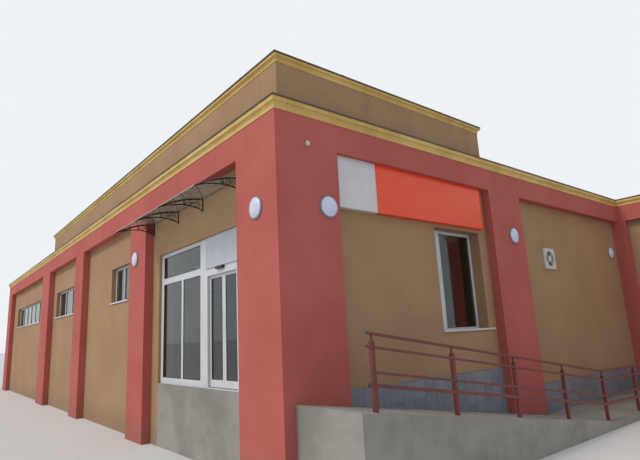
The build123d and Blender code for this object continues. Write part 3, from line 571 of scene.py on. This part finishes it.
# The sensor over the doors is a small black plastic case. A dark lens is let into its face, as a band from
# end to end.
black_plastic = clouded("black_plastic", (22, 22, 24), (38, 38, 41), (40, 3), 0.35, 300, 0.0004,
                        Specular_IOR_Level=0.5)
coat(black_plastic, "door_sensor")
lens_glass, shader, at = finish("lens_glass", Specular_IOR_Level=0.6, Coat_Roughness=0.05)
lay(shader, tint(noise(at, 12, 3), card(30, 20, 22), card(48, 26, 28)), 0.1)
eye_band = mitred((-2.37, -2.185, 2.142, 2.160), [(0, -0.004), (0, 0.0005), (0.003, 0.003), (0.008, 0.0042)])
make("sensor_lens", "building", lens_glass, "black_plastic", placed(eye_band, (0, 0.2, 0), **on_front))

# The operator's case, inside over the doors, is anodised aluminium. The threshold is an aluminium strip with
# fine ribs along it, screwed down between the storefront's ends.
grey_case = clouded("grey_case", (150, 152, 154), (166, 168, 170), (5, 4), 0.4, 200, 0.0005,
                    Specular_IOR_Level=0.5)
coat(grey_case, "door_operator")
RIB = 0.008
threshold_metal, shader, at = finish("threshold_metal", Metallic=0.9)
rib = between((along(at, 1) % RIB) / RIB, 0.3, 0.6)
lay(shader, tint(noise(at, 30, 4), card(150, 150, 148), card(176, 176, 174)), 0.45, rib, 0.002, 0.8)
coat(threshold_metal, "threshold")

# The canopy over the entrance: four brackets of black wrought iron, bolted to the wall, carry one sheet of
# clear plastic, which is bent over them. Dirt has gathered on the sheet in streaks toward its edge.
wrought_iron, shader, at = finish("wrought_iron", Metallic=0.3, Specular_IOR_Level=0.5)
hammer = noise(at, 70, 2)
iron = tint(between(noise(at, 14, 5), 0.55, 0.75) * 0.5, card(30, 27, 27), card(64, 47, 40))
lay(shader, iron, 0.42 + hammer * 0.2, hammer, 0.0015, 0.5)
coat(wrought_iron, "canopy_brackets")
clear_sheet, shader, at = finish("clear_sheet", Transmission_Weight=0.85, IOR=1.3, Specular_IOR_Level=0.6)
grime = between(noise(at, 5, 5, (1, 0.3, 1)), 0.4, 0.75)
lay(shader, tint(grime * 0.5, card(222, 230, 226), card(176, 178, 168)), 0.06 + grime * 0.25)
coat(clear_sheet, "canopy_sheet")


# Forged collars hold the scrolls to the chords. Two bolts with washers go through each bracket's plate into
# the wall.
def bend(controls, share):
    """Place and direction on a Bezier curve in a bracket's plane: its control points are mixed with their
    neighbours by the share, over and over, until two are left. The place lies between those two."""
    points = np.array(controls, float)
    while len(points) > 2:
        points = (1 - share) * points[:-1] + share * points[1:]
    step = points[1] - points[0]
    return points[0] + share * step, step / np.linalg.norm(step)


upper_chord = [(0.194, 3.603), (-0.272, 3.565), (-0.700, 3.330)]
lower_chord = [(0.194, 3.370), (0.000, 3.455), (-0.350, 3.490), (-0.700, 3.330)]
brackets = np.array([-1.370, -2.910, -4.094, -5.499])
collars = []
for chord, shares, span in ((upper_chord, (0.112, 0.271, 0.403), (-0.0192, 0.0092)),
                            (lower_chord, (0.159, 0.345, 0.479), (-0.0105, 0.0192))):
    band = mitred((-0.0095, 0.0095, *span), [(0.0015, -0.006), (0, -0.0045), (0, 0.0045), (0.0015, 0.006)])
    for share in shares:
        (y, z), (dy, dz) = bend(chord, share)
        collars.append(placed(band, [(x, y, z) for x in brackets], up=(0, dz, -dy), out=(0, dy, dz)))
make("canopy_collars", "building", wrought_iron, "wrought_iron", *collars)
washer = turned([(0, 0), (0.0125, 0), (0.0125, 0.0015), (0, 0.0015)], sides=16)
hexagon = turned([(0, 0.0015), (0.0095, 0.0015), (0.0095, 0.0065), (0.0082, 0.0078), (0, 0.0078)], sides=6)
bolts = [(x, 0.188, z) for x in brackets for z in (3.425, 3.562)]
make("canopy_bolts", "building", wrought_iron, "wrought_iron",
     placed(washer, bolts, **on_front), placed(hexagon, bolts, **on_front))

# Domed screws hold the sheet to the brackets, and a bead of sealant closes it against the wall.
# A white strip along its lower edge is a painted highlight: the gleam of light on the sheet's rim.
SHEET_TOP, SHEET_MIDDLE = 0.0143, 0.0118      # over the middle of the upper chord
screws = []
for share in (0.07, 0.29, 0.51, 0.73, 0.94):
    (y, z), (dy, dz) = bend(upper_chord, share)
    heads = [(x, y + SHEET_TOP * dz, z - SHEET_TOP * dy) for x in brackets]
    screws.append(placed(screw(0.005, 0.0045), heads, up=(0, dy, dz), out=(0, dz, -dy)))
make("canopy_screws", "building", zinc, "grey_case", *screws)
# The white strip along the sheet's lower edge is a painted highlight of light on its rim.
(y, z), (dy, dz) = bend(upper_chord, 1.0)
y, z = y + SHEET_MIDDLE * dz, z - SHEET_MIDDLE * dy
highlight_section = [(-0.013, -0.004), (-0.013, 0.004), (-0.0015, 0.004), (0.0005, 0.002), (0.0005, -0.002),
        (-0.0015, -0.004)]
make("canopy_edge_highlight", "building", white_coat, "white_frame",
     carried([(-5.516, y, z), (-1.353, y, z)], highlight_section, (0, dy, dz)))
bead = [(0, 0), (0, 0.030), (0.002, 0.029), (0.005, 0.013), (0.012, 0.0055), (0.020, 0.001)]
make("canopy_sealant", "building", rubber, "black_plastic",
     carried([(-5.512, WALL, 3.616), (-1.357, WALL, 3.616)], bead, (0, -1, 0)))


# The sign is a shallow metal case in two parts, pale at the corner and orange beside it. Each holds a smooth
# bare sheet behind a pressed edging, which is screwed on along its upper and lower side.
def sheet_paint(name, fresh, faded):
    """A smooth paint in its fresh colour, with the faded one over it in soft patches."""
    made, shader, at = finish(name, Specular_IOR_Level=0.5)
    patches = between(noise(at, 3, 4), 0.4, 0.7)
    lay(shader, tint(patches * 0.4, card(*fresh), card(*faded)), 0.3, noise(at, 2, 2), 0.002, 0.2)
    return made


SEAM, FACE_X = 2.235, -0.09      # where the two parts meet, and the face of their rims
parts = (("light", 1.335, SEAM, (216, 214, 219), (198, 196, 200), 3),
         ("orange", SEAM, 5.520, (244, 76, 30), (232, 70, 30), 8))
for name, left, right, fresh, faded, count in parts:
    paint = sheet_paint("sign_" + name, fresh, faded)
    coat(paint, "sign_panel_" + name)
    whole = (left, right, 2.93, 3.85)
    sheet = mitred(whole, [(0.0185, -0.0049), (0.0185, -0.0035), (0.023, -0.0026), (0.06, -0.0018)])
    edge = mitred(whole, [(0.001, 0), (0.001, 0.0014), (0.0025, 0.0022), (0.015, 0.0022), (0.0172, 0.001),
                          (0.0172, 0)], solid=False)
    make("sign_sheet_" + name, "building", paint, "sign_" + name,
         placed(sheet, (FACE_X, 0, 0), **on_side), placed(edge, (FACE_X, 0, 0), **on_side))
    heads = [(FACE_X + 0.0022, y, z) for y in np.linspace(left + 0.06, right - 0.06, count)
             for z in (2.939, 3.841)]
    make("sign_screws_" + name, "building", zinc, "grey_case",
         placed(screw(0.0035, 0.0022), heads, **on_side))

# The five round wall lights have a grey plastic ring and an opal dome over a soft seal. The dome's white is
# tinted blue as painted skylight. Three screws in the ring hold each one to the wall.
lamp_ring = clouded("lamp_ring", (128, 122, 130), (150, 146, 152), (9, 4), 0.45, 200, 0.0005,
                    Specular_IOR_Level=0.5)
coat(lamp_ring, "lamp_bases")
opal, shader, at = finish("opal", Specular_IOR_Level=0.5, Subsurface_Weight=0.2, Subsurface_Scale=0.02)
# Painted skylight: both whites of the dome carry the blue of the sky that falls on it.
opal_white_and_painted_skylight = tint(between(noise(at, 8, 4), 0.45, 0.75) * 0.4, card(216, 221, 245), card(197, 200, 212))
lay(shader, opal_white_and_painted_skylight, 0.25)
coat(opal, "lamp_globes")


def hoop(radius, rise, thick):
    """A ring of six-sided rod: six points round the rod's middle, turned about the axis."""
    angle = np.arange(6) * np.pi / 3
    section = np.column_stack([radius + thick * np.cos(angle), rise + thick * np.sin(angle)])
    return turned(section, sides=48, ring=True)


LAMP_Z = 2.865
lamps_front = [(-0.59, 0, LAMP_Z), (-6.19, 0, LAMP_Z)]
lamps_side = [(0, 1.0, LAMP_Z), (0, 6.59, LAMP_Z), (-WALL, 12.5, LAMP_Z)]
seal = hoop(0.1683, 0.0235, 0.0028)
angle = np.radians([90, 210, 330])
spots = np.column_stack([0.177 * np.cos(angle), 0.177 * np.sin(angle), 0 * angle + 0.0255])
heads = placed(screw(0.0038, 0.003), spots)
make("lamp_seals", "building", rubber, "black_plastic",
     placed(seal, lamps_front, **on_front), placed(seal, lamps_side, **on_side))
make("lamp_screws", "building", zinc, "grey_case",
     placed(heads, lamps_front, **on_front), placed(heads, lamps_side, **on_side))

# The vent in the second side bay is a square painted plate with a round opening: a black ring at its back,
# which paints the shade in the opening's depth, three wire rings in front of it, and a screw at each corner.
# The round fitting on the fascia has the same paint, and its cover is clipped on over a seal.
vent_paint = clouded("vent_paint", (214, 214, 206), (198, 198, 190), (7, 5), 0.5, 150, 0.0006, 0.4,
                     Specular_IOR_Level=0.4)
coat(vent_paint, "vent_plate", "alarm_fitting")
vent = (-0.15, 8.49, 2.455)
# A black ring at the back of the opening is painted shade for the dark depth behind the wire rings.
throat = turned([(0.0715, -0.0402), (0.191, -0.0402), (0.191, -0.037), (0.0715, -0.037)], 48, ring=True)
make("vent_painted_shade", "building", rubber, "black_plastic", placed(throat, vent, **on_side))
make("vent_wires", "building", vent_paint, "vent_white",
     *[placed(hoop(radius, -0.004, 0.003), vent, **on_side) for radius in (0.102, 0.131, 0.160)])
heads = [(vent[0], y, z) for y in (8.25, 8.73) for z in (2.22, 2.69)]
make("vent_screws", "building", zinc, "grey_case", placed(screw(0.006, 0.004), heads, **on_side))
band = turned([(0.044, 0.008), (0.0462, 0.008), (0.0462, 0.0115), (0.044, 0.0115)], 32, ring=True)
make("fitting_seal", "building", rubber, "black_plastic", placed(band, (0, 0.62, 3.875), **on_side))

# The railing beside the ramp is welded from square and flat steel tube and painted dark red. The paint has
# dulled in patches and worn through in small spots.
rail_paint, shader, at = finish("rail_paint", Specular_IOR_Level=0.5)
worn = between(noise(at, 16, 5), 0.6, 0.75)
red = tint(between(noise(at, 3, 4), 0.35, 0.7), card(114, 50, 46), card(100, 44, 42))
red = tint(worn * 0.5, red, card(90, 58, 46))
lay(shader, red, 0.42 + worn * 0.25, noise(at, 90, 3) - worn, 0.0008, 0.4)
coat(rail_paint, "railing_posts", "railing_rails")

# Black plastic plugs close the ends of the handrail and of the three rails. They are driven in square to the
# run of the rail.
RAIL_X, RAIL_END = 1.25, 12.89
SLOPES = (-0.155, -0.0122)      # of the ramp, before and past the side pilaster
tubes = [(RAIL_X, 0.975, 0.040, 0.040, 0.45), (1.295, 0.8, 0.030, 0.034, 0.39),
         (1.295, 0.49, 0.030, 0.034, 0.50), (1.295, 0.33, 0.030, 0.050, 0.40)]


def along_ramp(slope):
    """The direction of the ramp's run, one part along y and the slope's part up z, brought to length one, and
    the direction square to it, each as (x, y, z)."""
    y, z = np.array([1, slope]) / np.hypot(1, slope)
    return np.array([0, y, z]), np.array([0, -z, y])


plugs = []
for x, height, wide, deep, start in tubes:
    plug = mitred((-wide / 2, wide / 2, -deep / 2, deep / 2),
                  [(0.0005, -0.001), (0.0005, 0.0015), (0.004, 0.0035)])
    for y, slope, turn in ((start, SLOPES[0], -1), (RAIL_END, SLOPES[1], 1)):
        run, square = along_ramp(slope)
        plugs.append(placed(plug, (x, y, fall(y) + height), up=square, out=turn * run))
make("railing_plugs", "building", black_plastic, "black_plastic", *plugs)

# A pressed cap is welded over each post around the stem, the rails are welded to the posts above and below,
# and a rim of mortar closes the ramp around each post's foot.
posts = 0.53 + 1.63 * np.arange(8)
tops = [(RAIL_X, y, fall(y) + 0.875) for y in posts]
cover = mitred((-0.0305, 0.0305, -0.0305, 0.0305),
               [(0, -0.007), (0, 0.0012), (0.003, 0.003), (0.0187, 0.0048)])
collar = mitred((-0.012, 0.012, -0.012, 0.012), [(0.0005, 0.0735), (-0.0035, 0.0805), (0.0005, 0.0812)],
                solid=False)
make("railing_post_caps", "building", rail_paint, "railing_paint", placed(cover, tops), placed(collar, tops))
weld = turned([(0, -0.028), (0.0022, -0.024), (0.0031, -0.006), (0.0026, 0.004), (0.0031, 0.014),
               (0.002, 0.025), (0, 0.028)], sides=6)
rim = mitred((-0.03, 0.03, -0.03, 0.03), [(0.002, -0.005), (-0.016, -0.005), (-0.013, 0.003), (-0.004, 0.007),
                                          (0.002, 0.007)], solid=False)
beads, rims = [], []
for group, slope in ((posts[posts < PILASTER[1]], SLOPES[0]), (posts[posts > PILASTER[1]], SLOPES[1])):
    run, square = along_ramp(slope)
    spots = [(1.281, y, fall(y) + height + deep / 2 * end) for y in group
             for x, height, wide, deep, start in tubes[1:] for end in (-1, 1)]
    beads.append(placed(weld, spots, up=square, out=run))
    rims.append(placed(rim, [(RAIL_X, y, fall(y)) for y in group], up=run, out=square))
make("railing_welds", "building", rail_paint, "railing_paint", *beads)
make("railing_mortar", "building", mortar, "concrete", *rims)

# The stage is a plain pale floor, large enough to reach the horizon. It lies just under the lowest ground,
# which is the frame's own zero, and isn't part of the building.
SPREAD, DROP = 400.0, -0.002
mesh = bpy.data.meshes.new("floor")
mesh.from_pydata([(x * SPREAD, y * SPREAD, DROP) for x, y in ((-1, -1), (1, -1), (1, 1), (-1, 1))],
                 [], [(0, 1, 2, 3)])
floor = bpy.data.objects.new("floor", mesh)
bpy.context.scene.collection.objects.link(floor)
floor_paint, shader, at = finish("floor_paint", Specular_IOR_Level=0.1)
lay(shader, tint(noise(at, 0.2, 2), card(214, 214, 213), card(220, 220, 219)), 0.9)
mesh.materials.append(floor_paint)

# The light is a soft even sky, and one broad lamp from high up in front. The camera, the glass and the gloss
# see a paler sky than the one that lights the building.
world = bpy.data.worlds.new("studio")
bpy.context.scene.world = world
world.use_nodes = True
world.node_tree.nodes.clear()
ray = Wire(world.node_tree)
seen = ray.node("LightPath", out="Is Camera Ray")
for name in ("Is Glossy Ray", "Is Transmission Ray"):
    seen = seen.maths("MAXIMUM", seen, ray.node("LightPath", out=name))
light = ray.node("Background", {}, {"Color": (0.90, 0.94, 1.0, 1), "Strength": 0.62})
shown = ray.node("Background", {}, {"Color": (0.86, 0.89, 0.93, 1), "Strength": 1.0})
sky = ray.node("MixShader", {}, {0: seen, 1: light, 2: shown})
ray.node("OutputWorld", {}, {"Surface": sky})
lamp = bpy.data.lights.new("key", "SUN")
lamp.energy, lamp.angle, lamp.color = 1.5, 0.35, (1.0, 0.96, 0.9)
key = bpy.data.objects.new("key", lamp)
key.rotation_mode = "QUATERNION"
key.rotation_quaternion = Vector((0.14, 0.70, -0.69)).to_track_quat("-Z", "Y")
bpy.context.scene.collection.objects.link(key)

# The camera stands where the photograph was taken, low beside the corner and tilted up. Its turn, tilt, lean
# and focal length in pixels come from the parallel edges of the building.
FRAME, SENSOR = 640, 36        # the frame's width in pixels, and the sensor's in millimetres
yaw, pitch, roll, focal = 2.4564, 0.2071, -0.0507, 493.369
eye = CORNER + [5.8962, -4.0189, 0.8644]
ahead = np.array([np.cos(pitch) * np.cos(yaw), np.cos(pitch) * np.sin(yaw), np.sin(pitch)])
right = np.cross(ahead, [0, 0, 1])
right /= np.linalg.norm(right)
up = np.cross(right, ahead)
right, up = right * np.cos(roll) + up * np.sin(roll), up * np.cos(roll) - right * np.sin(roll)
lens = bpy.data.cameras.new("camera")
lens.lens, lens.sensor_width = focal * SENSOR / FRAME, SENSOR
lens.clip_start, lens.clip_end = 0.1, 1000
camera = bpy.data.objects.new("camera", lens)
turn = np.eye(4)
turn[:3] = np.column_stack([right, up, -ahead, eye])
camera.matrix_world = Matrix(turn.tolist())
bpy.context.scene.collection.objects.link(camera)
bpy.context.scene.camera = camera
bpy.context.scene.view_settings.view_transform = "Standard"
